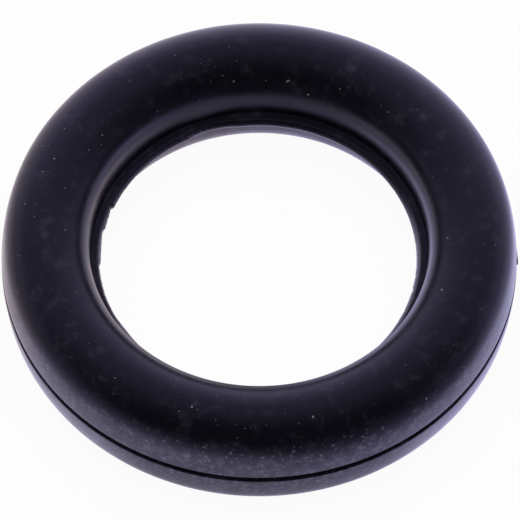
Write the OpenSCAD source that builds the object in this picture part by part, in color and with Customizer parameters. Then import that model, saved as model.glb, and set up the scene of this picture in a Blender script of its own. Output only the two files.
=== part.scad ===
// A moulded rubber sealing ring with a tall, oval section. The two halves of its mould met
// at mid height. There they left a rib of flash round the bore, torn back in places, and a
// fine groove round the outside. The origin is on the axis at mid height.

/* [Section] */
// Diameter of the bore between its walls, above and below the flash
bore_d = 13.1; // [8:0.1:40]
// Width of the section, from the bore wall to the outside wall
section_w = 3.45; // [2.5:0.05:5]
// Height of the section, along the axis
section_h = 5.15; // [4:0.05:9]
// How far the outside wall bulges past the round top and bottom
wall_bulge = 0.085; // [0.03:0.005:0.2]
// How far the flatter bore wall bulges past them
bore_bulge = 0.045; // [0.02:0.005:0.2]

/* [Flash round the bore] */
// How far the flash stands in from the bore wall
flash_reach = 0.415; // [0.25:0.005:1]
// Thickness of the flash
flash_t = 0.45; // [0.15:0.01:0.8]
// Height of the blunt edge that the flash tapers to
flash_edge_h = 0.1; // [0.04:0.01:0.3]
// Width of the taper from the full thickness to the edge
flash_taper_w = 0.13; // [0.05:0.01:0.24]

/* [Parting groove round the outside] */
// Width of the groove at the surface
groove_w = 0.32; // [0.1:0.01:0.8]
// Depth of the groove
groove_depth = 0.15; // [0.05:0.01:0.4]

/* [Stub of flash in the groove] */
// How far the stub stands proud of the outside wall at its torn end
stub_proud = 0.05; // [0.02:0.01:0.3]
// Thickness of the stub
stub_t = 0.12; // [0.06:0.01:0.3]
// Length of the stub, along the groove
stub_len = 0.85; // [0.3:0.05:3]

/* [Hidden] */
$fn = 192;

// The section is an oval of four arcs: one for each wall, and a tighter cap at the top and
// the bottom. The outside wall's radius is rounded to a micron. The caps' height comes from
// it, and the bore wall's radius from that, so that each wall runs smoothly into both caps.
half_w = section_w / 2;
half_h = section_h / 2;
cap_r = half_w - (wall_bulge + bore_bulge) / 2;
cap_x = (bore_bulge - wall_bulge) / 2;
wall_r = round(1000 * (cap_r + ((half_h - cap_r) ^ 2 / wall_bulge + wall_bulge) / 2)) / 1000;
cap_z = sqrt((wall_r - cap_r) ^ 2 - (wall_r - cap_r - wall_bulge) ^ 2);
bore_wall_r = cap_r + (cap_z ^ 2 / bore_bulge + bore_bulge) / 2;

bore_r = bore_d / 2;
middle_r = bore_r + half_w;
outside_r = bore_r + section_w;
flash_r = bore_r - flash_reach;

// Each tear in the flash, as its outline's points: angle round the ring, depth from the edge.
// It begins and ends at points clear of the flash, with a depth below zero.
TEARS = [
    [[96, -0.02], [101, 0.05], [106, 0.08], [111, 0.09], [114, 0.06], [118, -0.02]],
    [[157.5, -0.02], [158, 0.10], [161, 0.05], [167, 0.03], [168, 0.09], [170, 0.09],
        [174, 0.05], [178, 0.04], [182, 0.05], [183, 0.11], [187, 0.10], [192, 0.09],
        [197, 0.09], [201, 0.07], [205, 0.08], [206, -0.02]],
    [[335.5, -0.02], [336.5, 0.03], [337.5, -0.02]],
    [[344.5, -0.02], [346, 0.045], [347.5, -0.02]],
    [[351.2, -0.02], [352, 0.035], [353.5, -0.02]],
    [[355.2, -0.02], [356, 0.02], [357, -0.02]],
    [[5, -0.02], [6, 0.02], [7, -0.02]]
];

function polar(r, angle) = [r * cos(angle), r * sin(angle)];

// A wall with the part of the section behind it. It ends where it meets the caps.
module wall(r) {
    end_z = r * cap_z / (r - cap_r);
    intersection() {
        translate([half_w - r, 0]) circle(r);
        translate([-cap_r / 2, -end_z]) square([section_w, 2 * end_z]);
    }
}

module oval() {
    for (side = [-1, 1])
        translate([cap_x, side * cap_z]) circle(cap_r);
    wall(wall_r);
    mirror([1, 0]) wall(bore_wall_r);
}

// Half of it is buried in the bore wall, so that it joins the wall along its whole height.
module flash_section() {
    buried_r = bore_r + bore_bulge;
    taper_r = flash_r + flash_taper_w;
    polygon([
        [flash_r, -flash_edge_h / 2], [taper_r, -flash_t / 2], [buried_r, -flash_t / 2],
        [buried_r, flash_t / 2], [taper_r, flash_t / 2], [flash_r, flash_edge_h / 2]
    ]);
}

module groove_section() {
    polygon([
        [outside_r - groove_depth, 0],
        [outside_r + groove_depth, -groove_w],
        [outside_r + groove_depth, groove_w]
    ]);
}

module tear(outline) {
    torn_edge = [for (p = outline) polar(flash_r + p[1], p[0])];
    clear_of_it = [for (i = [len(outline) - 1:-1:0]) polar(flash_r - flash_t, outline[i][0])];
    linear_extrude(2 * flash_t, center = true)
        polygon(concat(torn_edge, clear_of_it));
}

// It starts level with the wall and grows to its torn end.
module stub() {
    start = 0.73 * stub_len / outside_r * 180 / PI;
    end = start - stub_len / outside_r * 180 / PI;
    root_r = outside_r - 1.5 * groove_depth;
    linear_extrude(stub_t, center = true)
        polygon([
            polar(root_r, start), polar(root_r, end),
            polar(outside_r + stub_proud, end), polar(outside_r, start)
        ]);
}

module o_ring() {
    color([0.11, 0.10, 0.15]) {
        difference() {
            rotate_extrude()
                difference() {
                    union() {
                        translate([middle_r, 0]) oval();
                        flash_section();
                    }
                    groove_section();
                }
            for (outline = TEARS) tear(outline);
        }
        stub();
    }
}

o_ring();
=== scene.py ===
"""A moulded black rubber sealing ring, lying flat on a pale floor under soft studio light.

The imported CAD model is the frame. The ring shown here is one closed mesh on the same section as
the CAD ring, fine enough for gloss to run smoothly round it, with the fine unevenness and the dust
that the CAD ring leaves out.
"""
import math

import bmesh
import bpy
import numpy as np
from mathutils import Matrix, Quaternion, Vector


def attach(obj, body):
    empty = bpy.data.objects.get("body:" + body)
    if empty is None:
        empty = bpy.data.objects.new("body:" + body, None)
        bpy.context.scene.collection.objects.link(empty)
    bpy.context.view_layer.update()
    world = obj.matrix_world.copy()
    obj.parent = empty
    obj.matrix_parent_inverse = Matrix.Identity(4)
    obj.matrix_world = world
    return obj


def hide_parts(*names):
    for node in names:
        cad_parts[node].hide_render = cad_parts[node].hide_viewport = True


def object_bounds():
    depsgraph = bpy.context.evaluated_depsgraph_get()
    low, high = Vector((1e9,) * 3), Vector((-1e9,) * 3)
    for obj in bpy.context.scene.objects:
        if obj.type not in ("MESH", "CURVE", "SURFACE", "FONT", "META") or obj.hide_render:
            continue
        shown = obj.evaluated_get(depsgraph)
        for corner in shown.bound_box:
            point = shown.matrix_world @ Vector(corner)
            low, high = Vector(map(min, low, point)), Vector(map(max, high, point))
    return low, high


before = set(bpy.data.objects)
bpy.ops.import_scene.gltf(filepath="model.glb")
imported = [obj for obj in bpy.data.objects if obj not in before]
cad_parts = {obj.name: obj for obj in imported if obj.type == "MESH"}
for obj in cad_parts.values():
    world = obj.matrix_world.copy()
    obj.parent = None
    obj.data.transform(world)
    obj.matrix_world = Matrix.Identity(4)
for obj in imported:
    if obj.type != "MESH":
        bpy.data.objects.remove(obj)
CAD_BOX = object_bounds()

MM = 0.001
SEED = 7
rng = np.random.default_rng(SEED)

# ---------------------------------------------------------------- sizes, in millimetres
# The section: an oval of four arcs, as in the CAD source.
BORE_R = 6.55
SECTION_W = 3.45
SECTION_H = 5.15
WALL_BULGE = 0.085
BORE_BULGE = 0.045

HALF_W = SECTION_W / 2
MIDDLE_R = BORE_R + HALF_W
OUTSIDE_R = BORE_R + SECTION_W
CAP_R = HALF_W - (WALL_BULGE + BORE_BULGE) / 2
CAP_Z = SECTION_H / 2 - CAP_R


def wall_radius(bulge):
    """The radius of a wall that bulges this far past the caps and runs smoothly into them."""
    return CAP_R + (CAP_Z ** 2 / bulge + bulge) / 2


def wall_end(radius):
    """How far round its arc a wall ends at the cap, in degrees."""
    return math.degrees(math.asin(CAP_Z / (radius - CAP_R)))


WALL_R, BORE_WALL_R = wall_radius(WALL_BULGE), wall_radius(BORE_BULGE)
WALL_END, BORE_WALL_END = wall_end(WALL_R), wall_end(BORE_WALL_R)
WALL_CENTRE = (OUTSIDE_R - WALL_R, 0.0)
CAP_CENTRE = (MIDDLE_R + (BORE_BULGE - WALL_BULGE) / 2, CAP_Z)
BORE_WALL_CENTRE = (BORE_R + BORE_WALL_R, 0.0)

# The flash round the bore.
FLASH_R = 6.10
FLASH_T = 0.45
FLASH_EDGE_H = 0.10
FLASH_TAPER_W = 0.13
SHOULDER_W, SHOULDER_DROP = 0.065, 0.035  # where the taper turns steeper
ROOT_REACH = 0.10  # how far the fillet at its root reaches along the wall
TAPER_REACH, SHOULDER_REACH, EDGE_REACH = 0.03, 0.025, 0.02  # and those at its corners

# The parting groove and the stub of flash left in it.
GROOVE_W = 0.32
GROOVE_DEPTH = 0.15
LIP_INSET, LIP_REACH = 0.002, 0.03  # its lip lies this far into the wall, and is rounded this far
STUB_PROUD = 0.05
STUB_T = 0.12
STUB_SUNK, STUB_SKIRT = 0.01, 0.02  # how deep it starts, and how far it spreads to each side
STUB_START, STUB_END = 3.55, -1.32  # degrees round the ring

# Each tear in the flash, as points on its outline: angle round the ring in degrees, depth from the
# edge. It begins and ends just clear of the edge.
TEARS = [
    [(96, -0.02), (101, 0.05), (106, 0.08), (111, 0.09), (114, 0.06), (118, -0.02)],
    [(157.5, -0.02), (158, 0.10), (161, 0.05), (167, 0.03), (168, 0.09), (170, 0.09),
     (174, 0.05), (178, 0.04), (182, 0.05), (183, 0.11), (187, 0.10), (192, 0.09),
     (197, 0.09), (201, 0.07), (205, 0.06), (214, -0.02)],
    [(335.5, -0.02), (336.5, 0.03), (337.5, -0.02)],
    [(344.5, -0.02), (346, 0.045), (347.5, -0.02)],
    [(351.2, -0.02), (352, 0.035), (353.5, -0.02)],
    [(355.2, -0.02), (356, 0.02), (357, -0.02)],
    [(5, -0.02), (6, 0.02), (7, -0.02)],
]

# Unevenness round the ring, a sum of waves: how many of each fit round it, then the strength.
EDGE_FINE = range(40, 130, 3), 0.0035
EDGE_ROUGH = range(90, 290, 7), 0.005
GROOVE_WANDER = range(5, 60, 4), 0.010
STILL_R = BORE_R - 0.03  # from its taper to here, the flash moves less and less with its edge
GROOVE_RIM = 0.01  # the groove is even this close to its lips

STEPS_ROUND = 600
WALL_POINTS, CAP_POINTS, BORE_POINTS = 10, 38, 6
FLANK_POINTS, ROOT_POINTS, CORNER_POINTS = 3, 10, 4


# ---------------------------------------------------------------- small helpers
def arc(centre, radius, start, end, steps):
    """Points on an arc in the section plane, with both ends."""
    angles = np.radians(np.linspace(start, end, steps))
    return [(centre[0] + radius * math.cos(a), centre[1] + radius * math.sin(a)) for a in angles]


def soften(before, corner, after, reach, steps=CORNER_POINTS):
    """The points that round a corner off, starting and ending reach away from it."""
    before, corner, after = (np.array(p, float) for p in (before, corner, after))
    start = corner + reach * (before - corner) / np.linalg.norm(before - corner)
    end = corner + reach * (after - corner) / np.linalg.norm(after - corner)
    t = np.linspace(0, 1, steps)[:, None]
    points = (1 - t) ** 2 * start + 2 * t * (1 - t) * corner + t ** 2 * end
    return [tuple(p) for p in points]


def between(a, b, steps):
    """Points from a to b, without either end."""
    t = np.linspace(0, 1, steps + 2)[1:-1, None]
    return [tuple(p) for p in (1 - t) * np.array(a, float) + t * np.array(b, float)]


def smooth_noise(count, waves, strength):
    """A closed, smooth random curve: count values round the ring, about strength high."""
    angles = np.linspace(0, 2 * math.pi, count, endpoint=False)
    total = np.zeros(count)
    for wave in waves:
        total += rng.normal() * np.cos(wave * angles) + rng.normal() * np.sin(wave * angles)
    return strength * total / math.sqrt(len(waves))


def smooth_mesh(name, points, faces):
    """A mesh of these points, in metres, shaded smooth."""
    mesh = bpy.data.meshes.new(name)
    mesh.from_pydata(points.tolist(), [], faces.tolist())
    mesh.update()
    mesh.shade_smooth()
    return mesh


def put(name, data):
    """A new object in the scene."""
    made = bpy.data.objects.new(name, data)
    bpy.context.scene.collection.objects.link(made)
    return made


# ---------------------------------------------------------------- the ring's section
def upper_half():
    """The section's upper half from the groove's floor, over the top, to the flash's edge."""
    flank = (OUTSIDE_R - GROOVE_DEPTH, 0.0)
    lip_z = GROOVE_W / 2
    lip_angle = math.degrees(math.asin(lip_z / WALL_R))
    wall = arc(WALL_CENTRE, WALL_R, lip_angle, WALL_END, WALL_POINTS)
    cap = arc(CAP_CENTRE, CAP_R, WALL_END, 180 - BORE_WALL_END, CAP_POINTS)
    root_z = FLASH_T / 2 + ROOT_REACH
    above_root = 180 - math.degrees(math.asin(root_z / BORE_WALL_R))
    bore = arc(BORE_WALL_CENTRE, BORE_WALL_R, 180 - BORE_WALL_END, above_root, BORE_POINTS)

    lip = (OUTSIDE_R - LIP_INSET, lip_z)
    root = (BORE_R, FLASH_T / 2)
    taper = (FLASH_R + FLASH_TAPER_W, FLASH_T / 2)
    shoulder = (FLASH_R + SHOULDER_W, FLASH_T / 2 - SHOULDER_DROP)
    edge = (FLASH_R, FLASH_EDGE_H / 2)
    tip = (FLASH_R, 0.0)

    path = [flank] + between(flank, lip, FLANK_POINTS) + soften(flank, lip, wall[1], LIP_REACH)
    path += wall[1:] + cap[1:] + bore[1:-1]
    path += soften(bore[-1], root, taper, ROOT_REACH, ROOT_POINTS)
    path += soften(root, taper, shoulder, TAPER_REACH)
    path += soften(taper, shoulder, edge, SHOULDER_REACH)
    path += soften(shoulder, edge, tip, EDGE_REACH)
    return path + [tip]


def skin(azimuth, slope):
    """A point on the ring's skin and the way it faces.

    azimuth goes round the ring, and slope goes over it: 0 outside, 90 on top, 180 inside.
    """
    if slope < WALL_END:
        centre, radius = WALL_CENTRE, WALL_R
    elif slope > 180 - BORE_WALL_END:
        centre, radius = BORE_WALL_CENTRE, BORE_WALL_R
    else:
        centre, radius = CAP_CENTRE, CAP_R
    turn, tilt = math.radians(azimuth), math.radians(slope)
    out = Vector((math.cos(turn), math.sin(turn), 0))
    faces = out * math.cos(tilt) + Vector((0, 0, math.sin(tilt)))
    point = out * (centre[0] + radius * math.cos(tilt))
    point.z = centre[1] + radius * math.sin(tilt)
    return point * MM, faces


def tear_depth(angles):
    """How far the flash's edge is torn back at each angle."""
    depth = np.zeros(len(angles))
    for outline in TEARS:
        at, deep = zip(*outline)
        depth = np.maximum(depth, np.interp(angles, at, deep, left=0, right=0))
    return depth


def ring_mesh():
    """The section swept round the axis as one closed skin, then torn and made a little uneven."""
    upper = upper_half()
    lower = [(r, -z) for r, z in upper[-2:0:-1]]
    section = np.array(upper + lower)
    count = len(section)
    angles = np.linspace(0, 360, STEPS_ROUND, endpoint=False)

    radius = np.repeat(section[None, :, 0], STEPS_ROUND, axis=0)
    height = np.repeat(section[None, :, 1], STEPS_ROUND, axis=0)

    # The flash is torn back, and its edge is never quite even.
    torn = tear_depth(angles)
    fine = smooth_noise(STEPS_ROUND, *EDGE_FINE)
    rough = smooth_noise(STEPS_ROUND, *EDGE_ROUGH)
    moved = torn + np.abs(fine) + np.where(torn > 0, rough, 0)
    taper_r = FLASH_R + FLASH_TAPER_W
    share = np.clip((STILL_R - section[:, 0]) / (STILL_R - taper_r), 0, 1)
    radius += moved[:, None] * share[None, :]

    # The groove wanders a little in depth, and the stub fills it for a short way.
    outer = section[:, 0] > MIDDLE_R
    in_groove = outer & (np.abs(section[:, 1]) < GROOVE_W / 2 - GROOVE_RIM)
    share = 1 - np.abs(section[in_groove, 1]) / (GROOVE_W / 2)
    wander = smooth_noise(STEPS_ROUND, *GROOVE_WANDER)
    radius[:, in_groove] += wander[:, None] * share[None, :]
    signed = (angles + 180) % 360 - 180
    along = np.clip((STUB_START - signed) / (STUB_START - STUB_END), 0, 1)
    on_stub = (signed <= STUB_START) & (signed >= STUB_END)
    stub_r = OUTSIDE_R - STUB_SUNK + (STUB_PROUD + STUB_SUNK) * along
    in_stub = outer & (np.abs(section[:, 1]) <= STUB_T / 2 + STUB_SKIRT)
    block = np.ix_(on_stub, in_stub)
    radius[block] = np.maximum(radius[block], stub_r[on_stub][:, None])

    turn = np.radians(angles)[:, None]
    points = np.stack([radius * np.cos(turn), radius * np.sin(turn), height], axis=-1)
    points = points.reshape(-1, 3) * MM

    step = np.arange(STEPS_ROUND)[:, None]
    here, ahead = step * count, (step + 1) % STEPS_ROUND * count
    j = np.arange(count)[None, :]
    j_next = (j + 1) % count
    faces = np.stack([here + j, ahead + j, ahead + j_next, here + j_next], axis=-1)
    faces = faces.reshape(-1, 4)

    return smooth_mesh("o_ring_rubber", points, faces)


# ---------------------------------------------------------------- material helpers
MIX_FIRST, MIX_SECOND, MIX_RESULT = 6, 7, 2  # a mix node's sockets for colours


def new_material(name):
    """A material with no nodes yet, and its node tree."""
    material = bpy.data.materials.new(name)
    material.use_nodes = True
    tree = material.node_tree
    tree.nodes.clear()
    return material, tree


def node(tree, kind, **values):
    """A new node with these values set, on itself or on its inputs. _ stands for a space."""
    made = tree.nodes.new(kind)
    for key, value in values.items():
        if hasattr(made, key):
            setattr(made, key, value)
        else:
            made.inputs[key.replace("_", " ")].default_value = value
    return made


def axes(tree, coords):
    """The three numbers in coords."""
    made = tree.nodes.new("ShaderNodeSeparateXYZ")
    tree.links.new(coords, made.inputs[0])
    return made.outputs["X"], made.outputs["Y"], made.outputs["Z"]


def noise(tree, coords, scale, detail, roughness):
    """A noise of about 0 to 1 over coords."""
    made = node(tree, "ShaderNodeTexNoise", Scale=scale, Detail=detail, Roughness=roughness)
    tree.links.new(coords, made.inputs["Vector"])
    return made.outputs["Fac"]


def spread(tree, value, low, high, to_low, to_high):
    """value, mapped from low..high to to_low..to_high and held there."""
    made = tree.nodes.new("ShaderNodeMapRange")
    made.interpolation_type = "SMOOTHSTEP"
    tree.links.new(value, made.inputs["Value"])
    for name, number in zip(("From Min", "From Max", "To Min", "To Max"),
                            (low, high, to_low, to_high)):
        made.inputs[name].default_value = number
    return made.outputs["Result"]


def mix_colour(tree, share, first, second):
    """The first colour where share is 0, the second where it is 1. Either may be a socket."""
    made = tree.nodes.new("ShaderNodeMix")
    made.data_type = "RGBA"
    tree.links.new(share, made.inputs["Factor"])
    for socket, colour in ((made.inputs[MIX_FIRST], first), (made.inputs[MIX_SECOND], second)):
        if isinstance(colour, tuple):
            socket.default_value = (*colour, 1)
        else:
            tree.links.new(colour, socket)
    return made.outputs[MIX_RESULT]


def maths(tree, operation, a, b=0):
    """The result of a maths node on a and b, each a number or a socket."""
    made = node(tree, "ShaderNodeMath", operation=operation)
    for socket, value in zip(made.inputs, (a, b)):
        if isinstance(value, (int, float)):
            socket.default_value = value
        else:
            tree.links.new(value, socket)
    return made.outputs["Value"]


def product(tree, first, *others):
    """All of these multiplied together."""
    for other in others:
        first = maths(tree, "MULTIPLY", first, other)
    return first


def distance(tree, x, y):
    """How far the point at x and y is from the axis."""
    return maths(tree, "SQRT", maths(tree, "ADD", maths(tree, "POWER", x, 2),
                                     maths(tree, "POWER", y, 2)))


def ramp(tree, value, points):
    """The level at value, on the line through these points and level past its ends."""
    start, length = points[0][0], points[-1][0] - points[0][0]
    made = tree.nodes.new("ShaderNodeValToRGB")
    elements = made.color_ramp.elements
    while len(elements) < len(points):
        elements.new(0.5)
    for element, (place, level) in zip(elements, points):
        element.position = (place - start) / length
        element.color = (level, level, level, 1)
    tree.links.new(maths(tree, "DIVIDE", maths(tree, "SUBTRACT", value, start), length),
                   made.inputs["Fac"])
    return made.outputs["Color"]


def bump(tree, height, shader, strength, depth):
    """Makes the shader's surface rise and fall with height."""
    made = node(tree, "ShaderNodeBump", Strength=strength, Distance=depth)
    tree.links.new(height, made.inputs["Height"])
    tree.links.new(made.outputs["Normal"], shader.inputs["Normal"])


def surface(tree, shader, kind="ShaderNodeOutputMaterial"):
    """Makes this shader the one that shows."""
    tree.links.new(shader, tree.nodes.new(kind).inputs["Surface"])


# ---------------------------------------------------------------- materials
# Noises: scale, detail and roughness.
CLOUDS = (420.0, 3.0, 0.55)
HAZE = (1500.0, 6.0, 0.7)
GRAIN = (9000.0, 2.0, 0.55)
PATCHES = (2600.0, 6.0, 0.75)
DOTS = (5200.0, 4.0, 0.6)
BLOTCHES = (16000.0, 3.0, 0.55)

RUBBER = (0.0046, 0.0041, 0.0064)
RUBBER_DUSTY = (0.018, 0.017, 0.023)
VEIL = (0.090, 0.084, 0.116)
# The next colour is a painted highlight: a pale line along the flash's edge, in front only.
PAINTED_EDGE_HIGHLIGHT = (0.21, 0.195, 0.255)
FLECKS = (0.17, 0.16, 0.20)
RUBBER_IOR, GLOSS_TINT = 1.58, (0.72, 0.67, 1.0)
HAZE_ROUGH = 0.06  # how much rougher the rubber is where it is hazy
GRAIN_BUMP = (0.06, 0.00002)  # strength, and height in metres
# Each of these is a range of places, in metres, or of noise, then the amounts at its two ends.
HAZY = (0.5, 0.72, 0, 1)
VEIL_PATCHY = (0.44, 0.62, 0.05, 1)
VEIL_OUTSIDE = (0.00978, 0.00996, 0, 1)  # by the distance from the axis
VEIL_ROUND = (-0.006, 0.002, 1, 0.3)  # full at the front, thin at the sides and back
VEIL_BORE = (0.00665, 0.0071, 1, 0)  # by the distance from the axis, in the bore
VEIL_UNDER = (-0.0006, -0.0002, 1, 0)  # and by height, under the flash
OFF_GROOVE = (0.00012, 0.0002, 0.08, 1)  # by the distance from mid height: little in the groove
FLECKED = (0.60, 0.67, 0, 1)
FLECKS_OUTSIDE = (0.00955, 0.00990, 0, 1)
FLECKS_MIDDLE = (0.0025, 0.0065, 1, 0.4)  # fewer to either side
EDGE_HIGHLIGHT_REACH = (0.00615, 0.00632, 1, 0)  # the flash's edge, by the distance from the axis
EDGE_HIGHLIGHT_FRONT = (0.0, 0.0028, 1, 0)  # and only in front: a painted highlight there
CLOUDY = (0.3, 0.7, 0.15, 0.23)  # how rough the rubber is
SATIN_BORE = (0.0074, 0.0084, 0.11, 0)  # how much rougher it is on the bore side
MATT_FROM, MATT_TO = (0.00622, 0.00628, 0, 0.30), (0.00648, 0.00656, 1, 0)  # and on the flash


def rubber_material():
    """Satin black rubber: cloudy gloss from the mould, a haze of dust, and a faint grain."""
    material, tree = new_material("black_rubber")
    coords = tree.nodes.new("ShaderNodeTexCoord").outputs["Object"]
    x, y, z = axes(tree, coords)
    reach = distance(tree, x, y)
    haze = spread(tree, noise(tree, coords, *HAZE), *HAZY)

    # A pale veil with flecks in it lies round the outside wall, most at the front; the veil also
    # lies on the bore wall under the flash.
    front_heavy = product(tree, spread(tree, y, *VEIL_ROUND),
                     spread(tree, maths(tree, "ABSOLUTE", z), *OFF_GROOVE))
    outside = product(tree, front_heavy, spread(tree, reach, *VEIL_OUTSIDE))
    under_flash = product(tree, spread(tree, reach, *VEIL_BORE), spread(tree, z, *VEIL_UNDER))
    veil = product(tree, spread(tree, noise(tree, coords, *PATCHES), *VEIL_PATCHY),
                   maths(tree, "MAXIMUM", outside, under_flash))
    dots = product(tree, spread(tree, noise(tree, coords, *DOTS), *FLECKED),
                   spread(tree, maths(tree, "ABSOLUTE", x), *FLECKS_MIDDLE))
    dots = product(tree, front_heavy, dots, spread(tree, reach, *FLECKS_OUTSIDE))
    # A painted highlight: a pale line along the flash's edge, in front only.
    torn = product(tree, spread(tree, reach, *EDGE_HIGHLIGHT_REACH), spread(tree, y, *EDGE_HIGHLIGHT_FRONT))

    shader = node(tree, "ShaderNodeBsdfPrincipled", IOR=RUBBER_IOR,
                  Specular_Tint=(*GLOSS_TINT, 1))
    colour = mix_colour(tree, haze, RUBBER, RUBBER_DUSTY)
    colour = mix_colour(tree, veil, colour, VEIL)
    colour = mix_colour(tree, dots, colour, FLECKS)
    colour = mix_colour(tree, torn, colour, PAINTED_EDGE_HIGHLIGHT)
    tree.links.new(colour, shader.inputs["Base Color"])

    matt = product(tree, spread(tree, reach, *MATT_FROM), spread(tree, reach, *MATT_TO))
    satin = maths(tree, "MAXIMUM", matt, spread(tree, reach, *SATIN_BORE))
    rougher = maths(tree, "ADD", product(tree, haze, HAZE_ROUGH), satin)
    clouds = spread(tree, noise(tree, coords, *CLOUDS), *CLOUDY)
    tree.links.new(maths(tree, "ADD", clouds, rougher), shader.inputs["Roughness"])

    bump(tree, noise(tree, coords, *GRAIN), shader, *GRAIN_BUMP)
    surface(tree, shader.outputs["BSDF"])
    return material


WHITE = (1.0, 1.0, 1.0)
FLOOR_COLOUR = (0.90, 0.90, 0.90)
FLOOR_GLOW = 0.95  # how much of what is seen there is glow. The rest takes shadows
# The colours of the floor's painted glow in the gloss, on the left and on the right.
PAINTED_LEFT_TINT, PAINTED_RIGHT_TINT = (1.01, 0.89, 0.99), (1.06, 1.02, 1.53)  # the floor's, in the gloss
SIDE_TO_SIDE = (-1, 1, 0, 1)
WARM_BACK = (-0.45, 0.0, 0, -1)  # in front, the left has no more of its own tint than the middle
# How white the floor's glow is in the gloss: painted light and shade, set by place. Far off it
# depends on how far round to the back it lies, from -1 to 1, and near the ring on the distance
# from the axis. Inside the ring it depends on the distance to either side, and on how far in front
# or at the back it lies.
PAINTED_GLOSS_FAR = [(-1.0, 0.14), (-0.5, 0.20), (0.0, 0.29), (0.25, 0.37), (0.5, 0.43), (0.7, 0.64),
             (0.88, 0.77), (1.0, 1.0)]
PAINTED_GLOSS_NEAR = [(0.0095, 0.95), (0.0125, 0.90), (0.0135, 0.86), (0.015, 0.62), (0.020, 0.38),
              (0.028, 0.21), (0.050, 0.0)]
PAINTED_GLOSS_INSIDE = [(0.0, 0.38), (0.0008, 0.50), (0.0022, 1.0)]
PAINTED_GLOSS_INSIDE_FRONT = [(-0.0045, 0.05), (-0.0010, 0.30), (0.0012, 1.0)]
PAINTED_GLOSS_INSIDE_BACK = [(0.0047, 0.0), (0.0057, 1.0)]
# Close to the ring in front, a painted shadow takes some of that away: by the distance from the
# axis, and by how far round to the front it lies.
PAINTED_FRONT_SHADOW = [(0.0095, 0.38), (0.0112, 0.38), (0.0125, 0.0)]
PAINTED_SHADOW_ROUND = (-0.90, -0.70, 1, 0)
# At the front right a painted shade makes it dimmer, but not close to the ring: by the distance to
# the right, to the back and from the axis.
PAINTED_DIM_RIGHT = (-0.001, 0.006, 0, 0.50)
PAINTED_DIM_FRONT = (-0.008, -0.002, 1, 0)
PAINTED_DIM_OFF = (0.0118, 0.0145, 0, 1)


def painted_floor_light(tree, x, y, reach, backwards):
    """The painted light and shade on the floor's glow, as the gloss sees it."""
    far = ramp(tree, backwards, PAINTED_GLOSS_FAR)
    near = ramp(tree, reach, PAINTED_GLOSS_NEAR)
    # A painted shadow close to the ring in front, and a painted shade at the front right.
    shade = product(tree, ramp(tree, reach, PAINTED_FRONT_SHADOW), spread(tree, backwards, *PAINTED_SHADOW_ROUND))
    dim = product(tree, spread(tree, x, *PAINTED_DIM_RIGHT), spread(tree, y, *PAINTED_DIM_FRONT),
                  spread(tree, reach, *PAINTED_DIM_OFF))
    lit = maths(tree, "SUBTRACT", 1, maths(tree, "MAXIMUM", shade, dim))
    outside = maths(tree, "ADD", far, product(tree, near, maths(tree, "SUBTRACT", 1, far)))
    outside = product(tree, outside, lit)
    inside = maths(tree, "MAXIMUM", ramp(tree, y, PAINTED_GLOSS_INSIDE_BACK),
                   ramp(tree, maths(tree, "ABSOLUTE", x), PAINTED_GLOSS_INSIDE))
    inside = product(tree, inside, ramp(tree, y, PAINTED_GLOSS_INSIDE_FRONT))
    return mix_colour(tree, maths(tree, "GREATER_THAN", reach, MIDDLE_R * MM), inside, outside)


def floor_material():
    """A pale matt floor that shows white to the camera, a glow of painted light and shade in the
    gloss, and keeps shadows.
    """
    material, tree = new_material("pale_floor")
    x, y, _ = axes(tree, tree.nodes.new("ShaderNodeTexCoord").outputs["Object"])
    reach = distance(tree, x, y)
    backwards = maths(tree, "DIVIDE", y, reach)
    rightwards = maths(tree, "DIVIDE", x, reach)
    # Painted light and shade: how bright the floor's glow is in the gloss, by place.
    level = painted_floor_light(tree, x, y, reach, backwards)
    least = spread(tree, backwards, *WARM_BACK)
    tint = mix_colour(tree, spread(tree, maths(tree, "MAXIMUM", rightwards, least), *SIDE_TO_SIDE),
                      PAINTED_LEFT_TINT, PAINTED_RIGHT_TINT)

    path = tree.nodes.new("ShaderNodeLightPath")
    camera_sees = path.outputs["Is Camera Ray"]
    seen = maths(tree, "MAXIMUM", camera_sees,
                 maths(tree, "MAXIMUM", path.outputs["Is Glossy Ray"],
                       path.outputs["Is Transmission Ray"]))
    matt = node(tree, "ShaderNodeBsdfDiffuse", Color=(*FLOOR_COLOUR, 1))
    glow = tree.nodes.new("ShaderNodeEmission")
    tree.links.new(mix_colour(tree, camera_sees, tint, WHITE), glow.inputs["Color"])
    tree.links.new(maths(tree, "MAXIMUM", camera_sees, level), glow.inputs["Strength"])
    mix = tree.nodes.new("ShaderNodeMixShader")
    tree.links.new(product(tree, seen, FLOOR_GLOW), mix.inputs["Fac"])
    tree.links.new(matt.outputs["BSDF"], mix.inputs[1])
    tree.links.new(glow.outputs["Emission"], mix.inputs[2])
    surface(tree, mix.outputs["Shader"])
    return material


DUST_DARK = (0.10, 0.10, 0.11)
DUST_PALE = (0.34, 0.33, 0.36)
DUST_BLOTCHY = (0.35, 0.65, 0, 1)
DUST_ROUGH = 0.85
DUST_BUMP = (0.5, 0.00001)  # strength, and height in metres


def dust_material():
    """Grey house dust: uneven, matt flakes."""
    material, tree = new_material("grey_dust")
    coords = tree.nodes.new("ShaderNodeTexCoord").outputs["Object"]
    blotch = spread(tree, noise(tree, coords, *BLOTCHES), *DUST_BLOTCHY)
    shader = node(tree, "ShaderNodeBsdfPrincipled", Roughness=DUST_ROUGH)
    tree.links.new(mix_colour(tree, blotch, DUST_DARK, DUST_PALE), shader.inputs["Base Color"])
    bump(tree, blotch, shader, *DUST_BUMP)
    surface(tree, shader.outputs["BSDF"])
    return material


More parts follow.
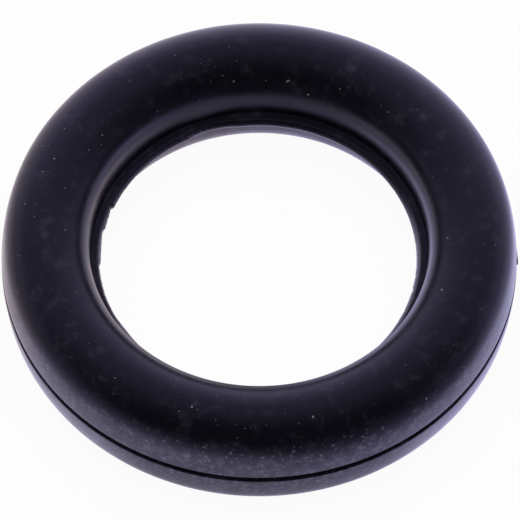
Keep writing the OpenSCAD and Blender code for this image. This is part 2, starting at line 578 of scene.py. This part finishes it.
# ---------------------------------------------------------------- dust
# The specks that show: azimuth and slope on the skin, then length, width and twist.
SPECKS = [
    (80.8, 140.5, 0.20, 0.085, 35), (73.7, 154.5, 0.16, 0.07, -15), (98.2, 141.5, 0.12, 0.07, 70),
    (113.1, 86.0, 0.06, 0.05, 20), (159.5, 82.0, 0.10, 0.07, 110), (156.0, 54.5, 0.07, 0.05, 0),
    (187.3, 48.0, 0.08, 0.06, 80), (195.4, 29.0, 0.07, 0.05, 10), (337.5, 112.0, 0.15, 0.11, 40),
    (356.4, 125.0, 0.10, 0.05, 5), (252.5, 77.0, 0.11, 0.10, 60), (283.5, 68.0, 0.13, 0.09, 95),
    (311.4, 25.5, 0.10, 0.08, 30), (125.2, 147.5, 0.05, 0.05, 0), (127.8, 91.0, 0.05, 0.04, 0),
    (173.2, 58.0, 0.07, 0.06, 15), (145.5, 121.5, 0.08, 0.06, 60), (163.8, 73.5, 0.08, 0.06, 130),
    (257.3, 18.0, 0.08, 0.07, 20), (231.1, 69.0, 0.07, 0.06, 45), (152.3, 118.5, 0.08, 0.06, 100),
    (181.4, 116.5, 0.08, 0.06, 75), (63.9, 132.0, 0.08, 0.05, 25), (149.9, 73.0, 0.10, 0.04, 160),
    (167.5, 109.0, 0.09, 0.04, 85), (173.9, 74.0, 0.06, 0.05, 30),
]
FINE_SPECKS = 260
FINE_LENGTH, FINE_WIDTH = (0.018, 0.050), (0.5, 1.0)  # the width is a share of the length
FINE_SLOPE, LOWEST_SLOPE = (-5, 165), 1.5  # those that fall below the lowest are moved up to it
FLATNESS = 0.4  # how thick a flake is, as a share of its width
LUMPINESS = 0.28  # how far its corners are moved in or out, as a share of its size


def dust_mesh():
    """Flattened, uneven flakes on the ring's skin: the specks that show, and fine ones strewn."""
    ball = bmesh.new()
    bmesh.ops.create_icosphere(ball, subdivisions=1, radius=0.5)
    unit = np.array([v.co for v in ball.verts])
    unit_faces = np.array([[v.index for v in f.verts] for f in ball.faces])
    ball.free()

    specks = list(SPECKS)
    for _ in range(FINE_SPECKS):
        length = rng.uniform(*FINE_LENGTH)
        specks.append((rng.uniform(0, 360), rng.uniform(*FINE_SLOPE), length,
                       length * rng.uniform(*FINE_WIDTH), rng.uniform(0, 180)))
    points, faces = [], []
    for azimuth, slope, length, width, twist in specks:
        at, normal = skin(azimuth, max(slope, LOWEST_SLOPE))
        lump = 1 + rng.uniform(-LUMPINESS, LUMPINESS, len(unit))
        flake = unit * lump[:, None] * np.array([length, width, FLATNESS * width]) * MM
        turn = normal.to_track_quat("Z", "Y") @ Quaternion((0, 0, 1), math.radians(twist))
        faces.append(unit_faces + len(unit) * len(points))
        points.append(flake @ np.array(turn.to_matrix()).T + np.array(at))
    return smooth_mesh("dust", np.concatenate(points), np.concatenate(faces))


# ---------------------------------------------------------------- pieces
ring = put("o_ring_rubber", ring_mesh())
ring.data.materials.append(rubber_material())
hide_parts("o_ring")
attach(ring, "root")

dust = put("dust", dust_mesh())
dust.data.materials.append(dust_material())
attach(dust, "root")

# ---------------------------------------------------------------- floor, light and camera
FLOOR_R, FLOOR_SIDES = 1.2, 96
FLOOR_Z = CAD_BOX[0].z

bpy.ops.mesh.primitive_circle_add(vertices=FLOOR_SIDES, radius=FLOOR_R, fill_type="NGON",
                                  location=(0, 0, FLOOR_Z))
floor = bpy.context.object
floor.name = "floor"
floor.data.materials.append(floor_material())

SKY_TINT = (0.96, 0.91, 1.19)
# How bright the dome is. It goes by how far a direction points to the back, from -1 to 1, and low
# down, in front and at the sides, also by how far it points up.
BACK_LIGHT = [(-1.0, 0.02), (-0.54, 0.02), (-0.06, 0.13), (0.2, 0.25), (0.52, 0.32), (0.88, 0.64),
              (1.0, 1.0)]
FRONT_LOW = [(0.0, 0.10), (0.25, 0.0)]
SIDE_LOW = [(0.0, 0.29), (0.2, 0.14), (0.45, 0.0)]
FRONT_TO_SIDE = (-0.85, 0.35, 0, 1)


def sky():
    """A soft studio dome: bright low down at the back, dim overhead and in front."""
    world = bpy.data.worlds.new("studio")
    bpy.context.scene.world = world
    world.use_nodes = True
    tree = world.node_tree
    tree.nodes.clear()
    _, y, z = axes(tree, tree.nodes.new("ShaderNodeTexCoord").outputs["Generated"])
    low = mix_colour(tree, spread(tree, y, *FRONT_TO_SIDE), ramp(tree, z, FRONT_LOW),
                     ramp(tree, z, SIDE_LOW))
    dark = product(tree, maths(tree, "SUBTRACT", 1, low),
                   maths(tree, "SUBTRACT", 1, ramp(tree, y, BACK_LIGHT)))
    light = node(tree, "ShaderNodeBackground", Color=(*SKY_TINT, 1))
    tree.links.new(maths(tree, "SUBTRACT", 1, dark), light.inputs["Strength"])
    surface(tree, light.outputs["Background"], "ShaderNodeOutputWorld")


FILL_SIZE, FILL_HEIGHT, FILL_POWER = 0.6, 0.5, 2.0


def fill():
    """A wide overhead light. It is kept out of the gloss, which shows the dome."""
    data = bpy.data.lights.new("fill", "AREA")
    data.shape = "DISK"
    data.size = FILL_SIZE
    data.energy = FILL_POWER
    made = put("fill", data)
    made.location = (0, 0, FILL_HEIGHT)
    made.visible_glossy = False
    made.visible_camera = False


fill()
sky()

ELEVATION = math.radians(58.6)
DISTANCE = 0.78
LENS, SENSOR = 1391.5, 36
CLIP = (0.01, 10)
FRAME_UP = 0.0000525  # the ring sits this far above the picture's middle
FRAME_RIGHT = 0.000031  # and this far to its left


def camera():
    """The photo's camera: far off, and looking down at the ring's middle from the front."""
    data = bpy.data.cameras.new("camera")
    data.lens = LENS
    data.sensor_width = SENSOR
    data.clip_start, data.clip_end = CLIP
    made = put("camera", data)
    back = Vector((0, -math.cos(ELEVATION), math.sin(ELEVATION)))
    up = Vector((0, math.sin(ELEVATION), math.cos(ELEVATION)))
    made.location = back * DISTANCE - up * FRAME_UP + Vector((FRAME_RIGHT, 0, 0))
    made.rotation_mode = "QUATERNION"
    made.rotation_quaternion = (-back).to_track_quat("-Z", "Y")
    bpy.context.scene.camera = made


camera()
bpy.context.scene.view_settings.view_transform = "Standard"
